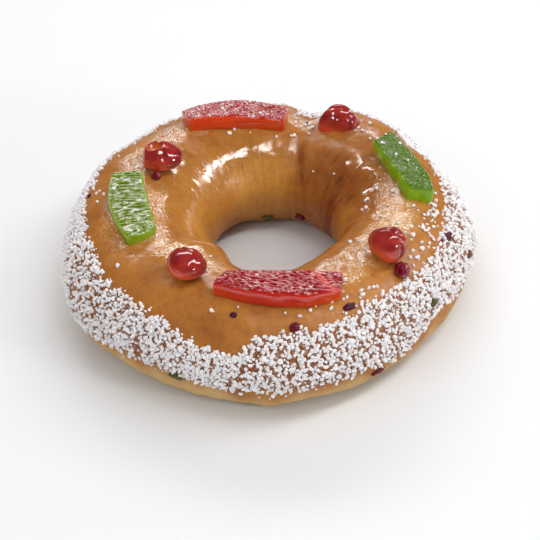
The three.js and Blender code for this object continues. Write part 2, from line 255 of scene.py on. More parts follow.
# How pale it is: the outer foot up to an uneven edge, and the base, where it lay on the paper. In part painted
# light: the pale foot reaches higher at the front left, and its colour is lighter, for light bounced up from the
# floor.
foot_edge = -17 + 4 * ripples(round_the_hole(ring_turn, 113), 22, 22)
foot_edge = foot_edge + 8 * hump(angle_between(turn_deg, 326), 40)
on_base = ring_rise > crust_rise[:, -1:]
pale = np.where(on_base, 0.55, 1 - step_up(rise_deg, foot_edge, 4))
mark(bread, "pale", np.clip(pale, 0, 1))
# Where the egg wash ran down in strokes: the wall of the hole, from just inside the crest. Where the brush
# scraped it thin: in a belt of that wall at the left. And where it lay thick and dried to a gloss: the crest
# and the wall, except at the right, where it soaked in.
mark(bread, "wall", np.clip(1.2 * hump(angle_between(rise_deg, 152), 42), 0, 1))
mark(bread, "stroked", np.clip(1.5 * patch(turn_deg, rise_deg, (208, 138), (40, 11)), 0, 1))
glazed = step_up(rise_deg, 68 + 4 * ripples(ring_points, 40, 25), 3) * (1 - step_up(rise_deg, 151, 4))
glazed *= 1 - 0.85 * np.maximum(patch(turn_deg, rise_deg, (132, 160), (38, 40)),
                                patch(turn_deg, rise_deg, (148, 124), (24, 26)))
glazed *= 1 - 0.5 * patch(turn_deg, rise_deg, (200, 185), (40, 22))
# Where the glaze dried into fine crinkles: on the crest round the fruit. Painted glints and a painted cream
# sheen lie on them. Turn, rise and reaches in degrees.
CRINKLED = ((290, 74, 10, 13), (276, 108, 18, 9), (248, 84, 9, 16), (222, 76, 13, 15), (306, 104, 8, 12),
            (34, 103, 14, 12), (31, 84, 12, 8), (64, 105, 14, 9), (92, 108, 12, 9), (70, 84, 12, 8),
            (156, 84, 14, 12), (190, 96, 10, 6), (332, 116, 10, 10))
crinkled = sum(patch(turn_deg, rise_deg, (t, r), (wide, high)) for t, r, wide, high in CRINKLED)
crinkled = np.clip(crinkled * (1.1 + 0.4 * ripples(ring_points, 12, 24)), 0, 1)
mark(bread, "crinkled", crinkled)
# How much egg yolk shows in the glaze: the left and back wall of the hole, the top at the right, the joint at
# the front left and the crinkles. In part painted light: the hole's back wall is lightened, and the crinkles
# get a cream tint as a painted sheen. Turn, rise, reaches and share.
YOLK_AND_LIGHT = ((268, 158, 46, 42, 0.6), (48, 80, 40, 34, 0.4), (186, 168, 26, 40, 1.5), (320, 118, 18, 22, 0.4))
mark(bread, "yolk_and_light", np.clip(lumps(ring_turn, ring_rise, YOLK_AND_LIGHT) + 0.45 * crinkled, 0, 1))
inside = step_up(rise_deg, 116, 5)
glazed *= inside + (1 - inside) * (0.3 + 0.7 * crinkled)
mark(bread, "glazed", np.clip(glazed * (0.9 + 0.2 * ripples(ring_points, 16, 26)), 0.08, 1))
# Places that wrap round the ring without a seam: one unit is about 1 mm round it, but 7 mm along a section.
brushed = np.concatenate([round_the_hole(ring_turn, 50), ring_rise[..., None] * 5], -1)
mark(bread, "brushed", brushed)


def new_finish(name, **sockets):
    """A material with a Principled shader whose plain sockets are set by keyword, with _ for a space."""
    finish = bpy.data.materials.new(name)
    finish.use_nodes = True
    shader = finish.node_tree.nodes["Principled BSDF"]
    for socket, value in sockets.items():
        shader.inputs[socket.replace("_", " ")].default_value = value
    return finish, shader


def add_node(finish, kind, inputs=(), **settings):
    """A node in a finish: settings are its own fields, and inputs pairs sockets with values or outputs."""
    made = finish.node_tree.nodes.new("ShaderNode" + kind)
    for field, value in settings.items():
        setattr(made, field, value)
    for socket, value in dict(inputs).items():
        if isinstance(value, bpy.types.NodeSocket):
            finish.node_tree.links.new(value, made.inputs[socket])
        else:
            made.inputs[socket].default_value = value
    return made


def place_of(finish):
    """The place on the piece, in metres."""
    return add_node(finish, "TexCoord").outputs["Object"]


def read_mark(finish, name, output="Fac"):
    """What is stored on the piece under a name."""
    return add_node(finish, "Attribute", attribute_name=name).outputs[output]


def noise(finish, where, scale, detail=3.0, roughness=0.5):
    """Smooth noise from 0 to 1, with about scale cells in one unit of where."""
    sockets = {"Vector": where, "Scale": scale, "Detail": detail, "Roughness": roughness}
    return add_node(finish, "TexNoise", sockets).outputs["Fac"]


def spread(finish, value, low, high, to_low=0.0, to_high=1.0):
    """A value stretched from low and high to two others, and held there beyond."""
    sockets = {"Value": value, "From Min": low, "From Max": high, "To Min": to_low, "To Max": to_high}
    return add_node(finish, "MapRange", sockets).outputs["Result"]


def blend(finish, share, first, second):
    """A colour between two, by a share from 0 to 1."""
    return add_node(finish, "Mix", {0: share, 6: first, 7: second}, data_type="RGBA").outputs[2]


def between(finish, share, first, second):
    """A number between two, by a share from 0 to 1."""
    return add_node(finish, "Mix", {0: share, 2: first, 3: second}).outputs[0]


def reckon(finish, how, first, second):
    """Two numbers put together by a sum, product or other operation."""
    return add_node(finish, "Math", {0: first, 1: second}, operation=how).outputs[0]


def bump(finish, height, depth, strength=0.5, over=None):
    """Small relief: its full depth in metres, its strength, and the relief that it lies over."""
    sockets = {"Height": height, "Distance": depth, "Strength": strength}
    if over is not None:
        sockets["Normal"] = over
    return add_node(finish, "Bump", sockets).outputs["Normal"]


def link(finish, shader, **sockets):
    """Joins outputs to sockets of the shader, named by keyword with _ for a space."""
    for socket, output in sockets.items():
        finish.node_tree.links.new(output, shader.inputs[socket.replace("_", " ")])


CRUST_GOLD = (0.44, 0.172, 0.027, 1)
CRUST_AMBER = (0.32, 0.102, 0.016, 1)
CRUST_DEEP = (0.155, 0.025, 0.009, 1)
CRUST_PALE = (0.62, 0.43, 0.19, 1)
CRUST_YOLK_AND_LIGHT = (0.61, 0.295, 0.055, 1)
CRUST_FRECKLE = (0.14, 0.036, 0.010, 1)
PAINTED_GLINT = (0.90, 0.80, 0.62, 1)
SUGAR_DUST_AND_SHADE = (0.36, 0.24, 0.17, 1)
crust_finish, crust_shader = new_finish(
    "baked_crust", Subsurface_Weight=0.08, Subsurface_Radius=(1.0, 0.5, 0.2), Subsurface_Scale=0.003,
    Coat_IOR=2.1, Specular_IOR_Level=0.1,
)
where, brush_way = place_of(crust_finish), read_mark(crust_finish, "brushed", "Vector")
cloud = noise(crust_finish, where, 38, 4, 0.6)
mottle = noise(crust_finish, where, 260, 4, 0.6)
brush = noise(crust_finish, brush_way, 0.35, 3, 0.6)
hair = noise(crust_finish, brush_way, 1.1, 2, 0.5)
stroke = noise(crust_finish, brush_way, 0.6, 2, 0.6)
grain = noise(crust_finish, where, 1000, 3, 0.6)
colour = blend(crust_finish, spread(crust_finish, cloud, 0.35, 0.68), CRUST_GOLD, CRUST_AMBER)
colour = blend(crust_finish, spread(crust_finish, brush, 0.35, 0.75, 0, 0.25), colour, CRUST_AMBER)
colour = blend(crust_finish, spread(crust_finish, mottle, 0.62, 0.38, 0, 0.3), colour, CRUST_GOLD)
streaks = spread(crust_finish, brush, 0.3, 0.8, 0.9, 0.45)
# Yolk tone and painted light: the hole's back wall is lightened and the crinkles' sheen is tinted cream.
colour = blend(crust_finish, reckon(crust_finish, "MULTIPLY", read_mark(crust_finish, "yolk_and_light"), streaks),
               colour, CRUST_YOLK_AND_LIGHT)
blotch = spread(crust_finish, noise(crust_finish, where, 100, 5, 0.7), 0.42, 0.6, 0.62, 1)
streaks = reckon(crust_finish, "MULTIPLY", spread(crust_finish, brush, 0.35, 0.65, 1, 0.55), blotch)
# Baking and painted shade: darkened towards the deep colour where the crust is baked and where shade falls.
colour = blend(crust_finish, reckon(crust_finish, "MULTIPLY", read_mark(crust_finish, "baked_and_shade"), streaks),
               colour, CRUST_DEEP)
freckle = spread(crust_finish, noise(crust_finish, where, 430, 2, 0.4), 0.70, 0.76, 0, 0.5)
colour = blend(crust_finish, freckle, colour, CRUST_FRECKLE)
colour = blend(crust_finish, spread(crust_finish, mottle, 0.45, 0.75, 0, 0.25), colour, CRUST_FRECKLE)
colour = blend(crust_finish, spread(crust_finish, grain, 0.45, 0.75, 0, 0.30), colour, CRUST_FRECKLE)
# Painted light in part: the pale foot is lightened for light bounced up from the floor.
pale_share = reckon(crust_finish, "MULTIPLY", read_mark(crust_finish, "pale"),
                    spread(crust_finish, cloud, 0.2, 0.8, 1, 0.7))
colour = blend(crust_finish, pale_share, colour, CRUST_PALE)
# Painted shade in part: the crust and sugar dust in the belt are darkened between the nibs, where shade falls.
baked_and_shaded_under_sugar = reckon(crust_finish, "MULTIPLY", read_mark(crust_finish, "dusted"), 0.6)
colour = blend(crust_finish, baked_and_shaded_under_sugar, colour, CRUST_DEEP)
dust = reckon(crust_finish, "MULTIPLY", read_mark(crust_finish, "dusted"),
              spread(crust_finish, noise(crust_finish, where, 700, 2, 0.6), 0.47, 0.62))
colour = blend(crust_finish, dust, colour, SUGAR_DUST_AND_SHADE)
dull = reckon(crust_finish, "MAXIMUM", read_mark(crust_finish, "pale"), dust)
wall, crinkled = read_mark(crust_finish, "wall"), read_mark(crust_finish, "crinkled")
folded = reckon(crust_finish, "SUBTRACT", noise(crust_finish, where, 430, 2, 0.5), 0.5)
crinkle = reckon(crust_finish, "ABSOLUTE", folded, 0.0)
# Painted highlight: pale glints on the ridges of the crinkles, here and there.
painted_glints = reckon(crust_finish, "MULTIPLY", spread(crust_finish, crinkle, 0.0, 0.055, 0.65, 0), crinkled)
here_and_there = spread(crust_finish, noise(crust_finish, where, 150, 2), 0.4, 0.6)
painted_glints = reckon(crust_finish, "MULTIPLY", painted_glints, here_and_there)
colour = blend(crust_finish, painted_glints, colour, PAINTED_GLINT)
skin = bump(crust_finish, reckon(crust_finish, "MULTIPLY", brush, wall), 0.0002, 0.6)
skin = bump(crust_finish, reckon(crust_finish, "MULTIPLY", hair, wall), 0.0002, 0.22, skin)
skin = bump(crust_finish, reckon(crust_finish, "MULTIPLY", crinkle, crinkled), 0.0018, 0.9, skin)
skin = bump(crust_finish, mottle, 0.0003, 0.5, skin)
skin = bump(crust_finish, grain, 0.0001, 0.5, skin)
shine = between(crust_finish, dull, read_mark(crust_finish, "glazed"), 0.0)
bare_streaks = reckon(crust_finish, "MULTIPLY", read_mark(crust_finish, "stroked"),
                      spread(crust_finish, stroke, 0.42, 0.50, 1.0, 0))
smooth = between(crust_finish, bare_streaks, shine, 0.0)
link(crust_finish, crust_shader, Base_Color=colour, Normal=skin, Coat_Normal=skin,
     Roughness=between(crust_finish, dull, spread(crust_finish, mottle, 0.3, 0.7, 0.45, 0.6), 0.8),
     Coat_Roughness=spread(crust_finish, smooth, 0.1, 0.7, 0.32, 0.035),
     Coat_Weight=spread(crust_finish, shine, 0.0, 0.7, 0.04, 1.0))
bread.data.materials.append(crust_finish)
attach(bread, "root")
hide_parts("bread_ring")

# ------------------------------------------------------------------------------------------------------------
# The belt of pearl sugar. Hard white nibs of pressed sugar, pushed by hand into the egg-washed side of the
# dough before baking. They cover a belt with a ragged top edge, one or two deep, over fine sugar dust.
# ------------------------------------------------------------------------------------------------------------
# Rise of the belt's two edges, how far the top edge swings, and the turn where it is level, all in degrees.
SUGAR_LOW, SUGAR_HIGH = -3.5, 47.5
SUGAR_TILT, SUGAR_TILT_ZERO = 5.0, 20.0
# Bays and tongues of the top edge, then of the bottom edge: turn, reach and height in degrees.
SUGAR_EDGE_BAYS = ((342, 13, -17), (288, 14, 6.5), (240, 15, 4), (108, 14, 4), (60, 8, -4), (34, 9, 4),
                   (349.5, 3.5, -7))
SUGAR_FOOT_BAYS = ((4, 28, -4), (37, 7, -9), (54, 7, 9), (320, 11, 3), (298, 14, -7), (150, 30, -4),
                   (220, 40, -3))
# Bare patches in the belt: turn, rise and reaches in degrees.
BARE_PATCHES = ((322, 9, 2.2, 7), (293, 12, 1.4, 9), (75.5, 13, 1.6, 4), (85, -4, 2.0, 5), (128, 20, 1.5, 5),
                (176, 14, 2.2, 5), (205, 2, 1.6, 4), (252, 24, 1.3, 5))
GOLDEN_STEP, SECOND_STEP = 0.6180339887, 0.7548776662


def sugar_edges(turn):
    """Lowest and highest rise of the sugar at each turn, in degrees."""
    low = SUGAR_LOW + sum(size * hump(angle_between(turn, at), reach) for at, reach, size in SUGAR_FOOT_BAYS)
    high = SUGAR_HIGH + SUGAR_TILT * np.sin(np.radians(turn - SUGAR_TILT_ZERO))
    return low, high + sum(size * hump(angle_between(turn, at), reach) for at, reach, size in SUGAR_EDGE_BAYS)


def icosahedron():
    """The twelve corners of an icosahedron of radius 1, and its twenty faces pointing outwards."""
    gold = (1 + 5**0.5) / 2
    one_pair = [(0, a, b * gold) for a in (-1, 1) for b in (-1, 1)]
    turned = [(z, x, y) for x, y, z in one_pair] + [(y, z, x) for x, y, z in one_pair]
    corners = np.array(one_pair + turned, float)
    corners /= np.linalg.norm(corners[0])
    near = np.linalg.norm(corners[:, None] - corners, axis=-1) < 1.1
    i, j, k = np.array([(i, j, k) for i in range(12) for j in range(i) for k in range(j)]).T
    faces = np.stack([i, j, k], -1)[near[i, j] & near[j, k] & near[i, k]]
    a, b, c = np.moveaxis(corners[faces], 1, 0)
    inward = (np.cross(b - a, c - a) * a).sum(-1) < 0
    faces[inward] = faces[inward][:, ::-1]
    return corners, faces


def octahedron():
    """The six corners of an octahedron of radius 1, and its eight faces pointing outwards."""
    corners = np.concatenate([np.eye(3), -np.eye(3)])
    faces = [(0, 1, 2), (1, 3, 2), (3, 4, 2), (4, 0, 2), (1, 0, 5), (3, 1, 5), (4, 3, 5), (0, 4, 5)]
    return corners, np.array(faces)


def nibs(name, solid, middles, sizes, seed, uneven=0.26):
    """Many faceted lumps as one mesh: a solid with its corners moved, squeezed and turned at random."""
    draw = np.random.default_rng(seed)
    corners, faces = solid
    count = len(middles)
    shape = corners * (1 + draw.uniform(-uneven, uneven, (count, len(corners), 1)))
    squeeze = np.stack([np.ones(count), draw.uniform(0.72, 1, count), draw.uniform(0.62, 0.92, count)], -1)
    shape = shape * squeeze[:, None] * sizes[:, None, None] / 2
    axes, _ = np.linalg.qr(draw.normal(size=(count, 3, 3)))
    axes[np.linalg.det(axes) < 0, :, 0] *= -1
    points = middles[:, None] + np.einsum("nij,nkj->nki", axes, shape)
    shifted = faces + len(corners) * np.arange(count)[:, None, None]
    return put_mesh(name, points, shifted.reshape(-1, 3), smooth=False)


def on_crust(turn_degrees, rise_degrees, stand):
    """Points that stand some mm above the crust, for turns and rises in degrees."""
    turn, rise = np.radians(turn_degrees), np.radians(rise_degrees)
    return crust(turn, rise, relief(turn, rise)) + crust_normal(turn, rise) * stand[..., None]


def scatter(count, seed, ragged):
    """Turns and rises in degrees, spread evenly over the belt by two irrational steps, its edges ragged."""
    draw = np.random.default_rng(seed)
    number = np.arange(count) + draw.uniform(0, 1)
    turn = 360 * (number * GOLDEN_STEP % 1) + draw.normal(0, 0.9, count)
    low, high = sugar_edges(turn)
    low, high = low + 0.7 * ragged * draw.normal(0, 1, count), high + ragged * draw.normal(0, 1, count)
    rise = low + (high - low) * (number * SECOND_STEP % 1) + draw.normal(0, 1.1, count)
    thin = hump(angle_between(turn, 78), 34) - 0.8 * hump(angle_between(turn, 278), 34)
    gaps = ripples(on_crust(turn, rise, np.zeros(count)), 5.5, 32) > 1.2 - 0.3 * thin
    for at, height, wide, high in BARE_PATCHES:
        gaps |= patch(turn, rise, (at, height), (wide, high)) > draw.uniform(0.25, 0.6, count)
    keep = ~gaps | (draw.uniform(0, 1, count) < 0.15)
    return turn[keep], rise[keep], draw


belt_turn, belt_rise, draw = scatter(8400, 31, 1.2)
belt_size = draw.triangular(1.4, 2.25, 3.1, len(belt_turn))
stand = belt_size * draw.uniform(0.02, 0.26, len(belt_turn))
coarse_sugar = nibs("pearl_sugar_coarse", icosahedron(), on_crust(belt_turn, belt_rise, stand), belt_size, 33)

fine_turn, fine_rise, draw = scatter(3800, 34, 2.4)
fine_size = draw.triangular(0.9, 1.3, 2.0, len(fine_turn))
stand = fine_size * 0.25 + draw.uniform(0, 0.8, len(fine_turn))
fine_sugar = nibs("pearl_sugar_fine", octahedron(), on_crust(fine_turn, fine_rise, stand), fine_size, 35)

# Sugar dust that melted on to the crust between the nibs, and painted shade between the nibs.
low, high = sugar_edges(turn_deg)
mark(bread, "dusted", step_up(rise_deg, low + 2, 1.5) * (1 - step_up(rise_deg, high - 4, 1.5)) * ~on_base)

sugar_finish, sugar_shader = new_finish(
    "pearl_sugar", Roughness=0.5, Specular_IOR_Level=0.4, Subsurface_Weight=0.25,
    Subsurface_Radius=(1.0, 0.93, 0.88), Subsurface_Scale=0.0006,
)
where = place_of(sugar_finish)
tone = blend(sugar_finish, spread(sugar_finish, noise(sugar_finish, where, 700, 2), 0.3, 0.7),
             (0.87, 0.85, 0.86, 1), (0.74, 0.70, 0.70, 1))
link(sugar_finish, sugar_shader, Base_Color=tone,
     Normal=bump(sugar_finish, noise(sugar_finish, where, 2600, 3, 0.6), 0.0003, 0.5))
for piece in (coarse_sugar, fine_sugar):
    piece.data.materials.append(sugar_finish)
    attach(piece, "root")

# ------------------------------------------------------------------------------------------------------------
# Loose pearl sugar. Nibs that rolled over the belt's edge while it was being sprinkled and baked on to the
# top of the ring, most of them at the right and in the saddle at the back.
# ------------------------------------------------------------------------------------------------------------
# Clusters: turn, rise, spread both ways in degrees, count.
LOOSE_CLUSTERS = (
    (73, 63, 8, 6, 34), (66, 78, 9, 9, 12), (84, 62, 6, 4, 10), (161, 106, 3.5, 8, 11), (166, 84, 3, 9, 6),
    (84, 112, 8, 12, 8), (131, 97, 7, 9, 7), (30, 61, 4, 3, 12), (57, 58, 5, 3, 12), (139, 80, 4, 5, 4),
    (192, 107, 4, 5, 4), (14, 61, 6, 3, 5), (250, 60, 12, 3, 7), (205, 56, 14, 4, 12), (110, 60, 9, 3, 8),
    (180, 52, 12, 3, 8), (46, 112, 4, 6, 2),
)
LOOSE_SINGLES = ((303, 58), (264, 55), (326, 124), (349, 69), (341, 60), (174, 117), (144, 148),
                 (127, 141), (20, 66), (82, 132), (28, 82), (331, 104))
draw = np.random.default_rng(41)
loose = [np.stack([draw.normal(t, dt, n), draw.normal(r, dr, n)], -1) for t, r, dt, dr, n in LOOSE_CLUSTERS]
loose_turn, loose_rise = np.concatenate([*loose, np.array(LOOSE_SINGLES, float)]).T
loose_size = draw.triangular(1.2, 2.0, 3.1, len(loose_turn))
loose_middles = on_crust(loose_turn, loose_rise, loose_size * 0.22)
loose_sugar = nibs("pearl_sugar_loose", icosahedron(), loose_middles, loose_size, 42)
loose_sugar.data.materials.append(sugar_finish)
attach(loose_sugar, "root")

# ------------------------------------------------------------------------------------------------------------
# Scraps of fruit. Shreds of cherry and candied peel that fell on the dough and baked into the crust, most of
# them at the edge of the sugar.
# ------------------------------------------------------------------------------------------------------------
SCRAP_SINK = 0.3  # share of a scrap's height that is below the crust
CRIMSON, PURPLE = (0.16, 0.008, 0.02), (0.07, 0.006, 0.022)
GREEN_PEEL, BROWN_CRUST = (0.10, 0.11, 0.02), (0.20, 0.07, 0.02)
# Turn and rise in degrees, then length, width and height in mm, and colour.
FRUIT_SCRAPS = (
    (6.5, 49.5, 5.4, 4.6, 3.0, CRIMSON),
    (24.5, 55.5, 7.2, 3.4, 2.4, PURPLE),
    (348, 60, 3.6, 2.8, 2.2, PURPLE),
    (151.5, 196, 5.6, 4.8, 3.0, CRIMSON),
    (72, 44, 6.4, 4.0, 3.0, PURPLE),
    (181, 206, 6.5, 4.2, 3.0, GREEN_PEEL),
    (334, 355, 9.0, 3.6, 2.6, GREEN_PEEL),
    (52, 16, 7.0, 3.4, 3.0, GREEN_PEEL),
    (29, 345, 8.0, 3.2, 2.4, CRIMSON),
    (76, 13, 5.0, 4.4, 3.4, BROWN_CRUST),
    (69, 47, 2.6, 1.8, 1.4, CRIMSON),
    (161, 90, 3.0, 1.8, 1.2, CRIMSON),
    (263, 46, 3.2, 2.2, 1.6, PURPLE),
)


def ball(rows, columns):
    """Unit directions of a globe, row by row from the bottom to the top, without the two poles."""
    tilt, around = np.meshgrid(np.linspace(-np.pi / 2, np.pi / 2, rows + 2)[1:-1],
                               np.linspace(0, 2 * np.pi, columns, endpoint=False), indexing="ij")
    return np.stack([np.cos(tilt) * np.cos(around), np.cos(tilt) * np.sin(around), np.sin(tilt)], -1)


def capped_grid(rows, columns):
    """Faces of a grid that closes round its columns, and fans to two end points that follow its points."""
    row, column = np.meshgrid(np.arange(rows - 1), np.arange(columns), indexing="ij")
    after = (column + 1) % columns
    corners = (row * columns + column, row * columns + after)
    corners += ((row + 1) * columns + after, (row + 1) * columns + column)
    first, last, last_row = rows * columns, rows * columns + 1, (rows - 1) * columns
    ring = np.arange(columns)
    bottom = np.stack([(ring + 1) % columns, ring, np.full(columns, first)], -1)
    top = np.stack([last_row + ring, last_row + (ring + 1) % columns, np.full(columns, last)], -1)
    return np.stack(corners, -1).reshape(-1, 4), bottom, top


def with_ends(points, first, last):
    """The points of a grid as one list, followed by its two end points."""
    return np.concatenate([points.reshape(-1, points.shape[-1]), [first], [last]])


scrap_quads, scrap_bottom, scrap_top = capped_grid(14, 24)
globe = with_ends(ball(14, 24), (0, 0, -1), (0, 0, 1))
scrap_points, scrap_tints = [], []
for number, (turn, rise, length, width, height, tint) in enumerate(FRUIT_SCRAPS):
    at = np.radians([turn, rise])
    normal = crust_normal(*at)
    along = crust(at[0] + 1e-3, at[1]) - crust(*at)
    along /= np.linalg.norm(along)
    lumpy = 1 + 0.10 * ripples(globe, 0.9, 50 + number) + 0.05 * ripples(globe, 0.35, 80 + number)
    shape = globe * lumpy[:, None] * np.array([length, width, height]) / 2
    middle = crust(*at, relief(*at)) + normal * height * (0.5 - SCRAP_SINK)
    scrap_points.append(middle + shape @ np.stack([along, np.cross(normal, along), normal]))
    scrap_tints.append(np.broadcast_to(tint, globe.shape))
shift = len(globe) * np.arange(len(FRUIT_SCRAPS))[:, None, None]
scraps = put_mesh("fruit_scraps", np.stack(scrap_points), (scrap_quads + shift).reshape(-1, 4),
                  (scrap_bottom + shift).reshape(-1, 3), (scrap_top + shift).reshape(-1, 3))
mark(scraps, "tint", np.concatenate(scrap_tints))

scrap_finish, scrap_shader = new_finish("baked_fruit", Roughness=0.45, Coat_Weight=0.25, Coat_Roughness=0.1,
                                        Subsurface_Weight=0.2, Subsurface_Radius=(1.0, 0.2, 0.15),
                                        Subsurface_Scale=0.001, Specular_IOR_Level=0.15)
where = place_of(scrap_finish)
tint = blend(scrap_finish, spread(scrap_finish, noise(scrap_finish, where, 900, 3), 0.4, 0.7, 0, 0.6),
             read_mark(scrap_finish, "tint", "Color"), (0.03, 0.008, 0.01, 1))
shrivel = bump(scrap_finish, noise(scrap_finish, where, 1200, 3, 0.6), 0.0006, 0.6)
link(scrap_finish, scrap_shader, Base_Color=tint, Normal=shrivel, Coat_Normal=shrivel)
scraps.data.materials.append(scrap_finish)
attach(scraps, "root")

# ------------------------------------------------------------------------------------------------------------
# Strips of candied fruit. Four bars of stiff fruit jelly and candied peel, two red and two green, cut with a
# knife and laid along the crest. Their tops shrank into wrinkles under a frost of sugar, in part painted as
# glints; the sides are clear, with a painted glow at the ends.
# ------------------------------------------------------------------------------------------------------------
STRIP_SINK, STRIP_ROUNDING = 2.0, 0.1  # mm below the crown, and share lost from the width at top and bottom
SLOPE_REACH = 3.0  # mm to each side of the middle line, between which the crust's slope is taken
STRIP_ROWS, STRIP_COLUMNS = 200, 156
STRIP_EDGE, STRIP_END_EDGE = 9.0, 26.0  # powers of the rounded section and of the rounded ends
# Ends and bow of the middle line, width, narrowing, widest share, skew, bulge and thickness, in the solid's
# terms. Then the wrinkles' length along and across the strip and their depth in mm, how much sugar is left on
# the top, partly painted as glints, how wet it is, how much painted glow lies on its sides, a shelf cut into one
# end (share where it starts, its slant, its depth in mm; a start past 1 is no shelf) and how many crystals lie
# on the top.
STRIPS = {
    "red_strip_front": dict(
        start=(-25.9, -72.9), end=(36.1, -76.4), bow=3.6, width=19.4, narrow=0.44, widest=0.57,
        skew=(-3.4, -0.4), bulge=(0.5, 0.0), thickness=10.6, wrinkle=(4.5, 2.2, 0.26),
        frost_and_glints=0.55, wet=1.0, painted_side_glow=0.0, shelf=(0.84, 0.08, 1.3), crystals=30, seed=60),
    "red_strip_back": dict(
        start=(12.1, 67.2), end=(-45.4, 66.4), bow=6.0, width=19.5, narrow=0.41, widest=0.56,
        skew=(-1.5, 2.6), bulge=(0.0, 0.0), thickness=9.7, wrinkle=(2.4, 2.4, 0.16),
        frost_and_glints=1.0, wet=0.9, painted_side_glow=0.6, shelf=(2.0, 0.0, 0.0), crystals=120, seed=61),
    "green_strip_left": dict(
        start=(-76.4, 16.9), end=(-66.9, -34.4), bow=3.1, width=20.8, narrow=0.23, widest=0.51,
        skew=(-2.0, 3.3), bulge=(0.6, 1.9), thickness=6.8, wrinkle=(2.3, 8.0, 0.26),
        frost_and_glints=1.0, wet=1.0, painted_side_glow=0.3, shelf=(2.0, 0.0, 0.0), crystals=20, seed=62),
    "green_strip_right": dict(
        start=(80.9, -11.8), end=(65.4, 38.3), bow=1.7, width=16.2, narrow=0.17, widest=0.3,
        skew=(-2.3, 2.0), bulge=(0.0, 0.0), thickness=10.2, wrinkle=(3.0, 2.6, 0.08),
        frost_and_glints=0.18, wet=0.14, painted_side_glow=0.4, shelf=(2.0, 0.0, 0.0), crystals=60, seed=63),
}


def even_steps(curve, count, closed):
    """Points at even distances along a finely drawn curve."""
    if closed:
        curve = np.concatenate([curve, curve[:1]])
    way = np.concatenate([[0], np.cumsum(np.linalg.norm(np.diff(curve, axis=0), axis=1))])
    steps = np.linspace(0, way[-1], count, endpoint=not closed)
    return np.stack([np.interp(steps, way, part) for part in curve.T], -1)


def rounded(angle, power):
    """Superellipse of half width and half height 1: signed powers of the cosine and sine."""
    cosine, sine = np.cos(angle), np.sin(angle)
    return np.stack([np.sign(part) * np.abs(part) ** (2 / power) for part in (cosine, sine)], -1)


def crown_height(x, y):
    """Height of the plain crown above a place: the section's superellipse, without lumps or relief."""
    middle, half, crown = section(np.arctan2(x, -y))
    aside = np.minimum(np.abs(np.hypot(x, y) - middle) / half, 1)
    return BELT_HEIGHT + crown * (1 - aside**CROWN_POWER) ** (1 / CROWN_POWER)


def strip_place(strip, share, side, up, swell=0.0):
    """Points of a bent bar: share runs along its middle line, bowed as a parabola either side of the widest
    place, side across it from -1 to 1, and up from 0 to 1; swell raises the points by some mm."""
    start, end = np.array(strip["start"]), np.array(strip["end"])
    along = (end - start) / np.linalg.norm(end - start)
    outward = np.array([along[1], -along[0]])
    widest = strip["widest"]
    from_widest = (share - widest) / np.where(share < widest, widest, 1 - widest)
    bow = outward * (strip["bow"] * (1 - from_widest**2))[..., None]
    line = start + (end - start) * share[..., None] + bow
    far, near = line + SLOPE_REACH * outward, line - SLOPE_REACH * outward
    slope = crown_height(far[..., 0], far[..., 1]) - crown_height(near[..., 0], near[..., 1])
    slope = slope / (2 * SLOPE_REACH)
    rounding = 1 - STRIP_ROUNDING * (2 * up - 1) ** 4
    aside = side * strip["width"] * (1 - strip["narrow"] * from_widest**2) * rounding / 2
    cut = np.where(share < 0.5, *strip["skew"]) * side
    bulge = np.where(share < 0.5, -strip["bulge"][0], strip["bulge"][1]) * (1 - side**2)
    longer = (cut + bulge) * from_widest**4
    height = up * strip["thickness"] + swell
    place = line + outward * (aside - slope * height)[..., None] + along * longer[..., None]
    lift = crown_height(line[..., 0], line[..., 1]) - STRIP_SINK + slope * aside + height
    return np.concatenate([place, lift[..., None]], -1)


def strip_grain(strip, share, side):
    """The place on a strip's top, counted in wrinkles along it and across it."""
    length = np.linalg.norm(np.subtract(strip["end"], strip["start"]))
    along, across, _ = strip["wrinkle"]
    return np.stack([share * length / along, side * strip["width"] / 2 / across], -1)


def past_shelf(strip, share, side):
    """Way past the slanting cut that starts the shelf, as a share of the length."""
    start, slant, _ = strip["shelf"]
    return share - start - slant * side


def strip_top(strip, share, side):
    """Wrinkles of a strip's top in mm, sharper in their valleys, less the step down to the shelf."""
    grain = strip_grain(strip, share, side)
    sharp = ripples(grain, 1.0, strip["seed"], 40)
    swells = 0.18 * ripples(grain, 5, strip["seed"] + 20)
    height = strip["wrinkle"][2] * (sharp - 0.35 * np.abs(sharp)) + swells
    return height - strip["shelf"][2] * step_up(past_shelf(strip, share, side), 0.02, 0.012)


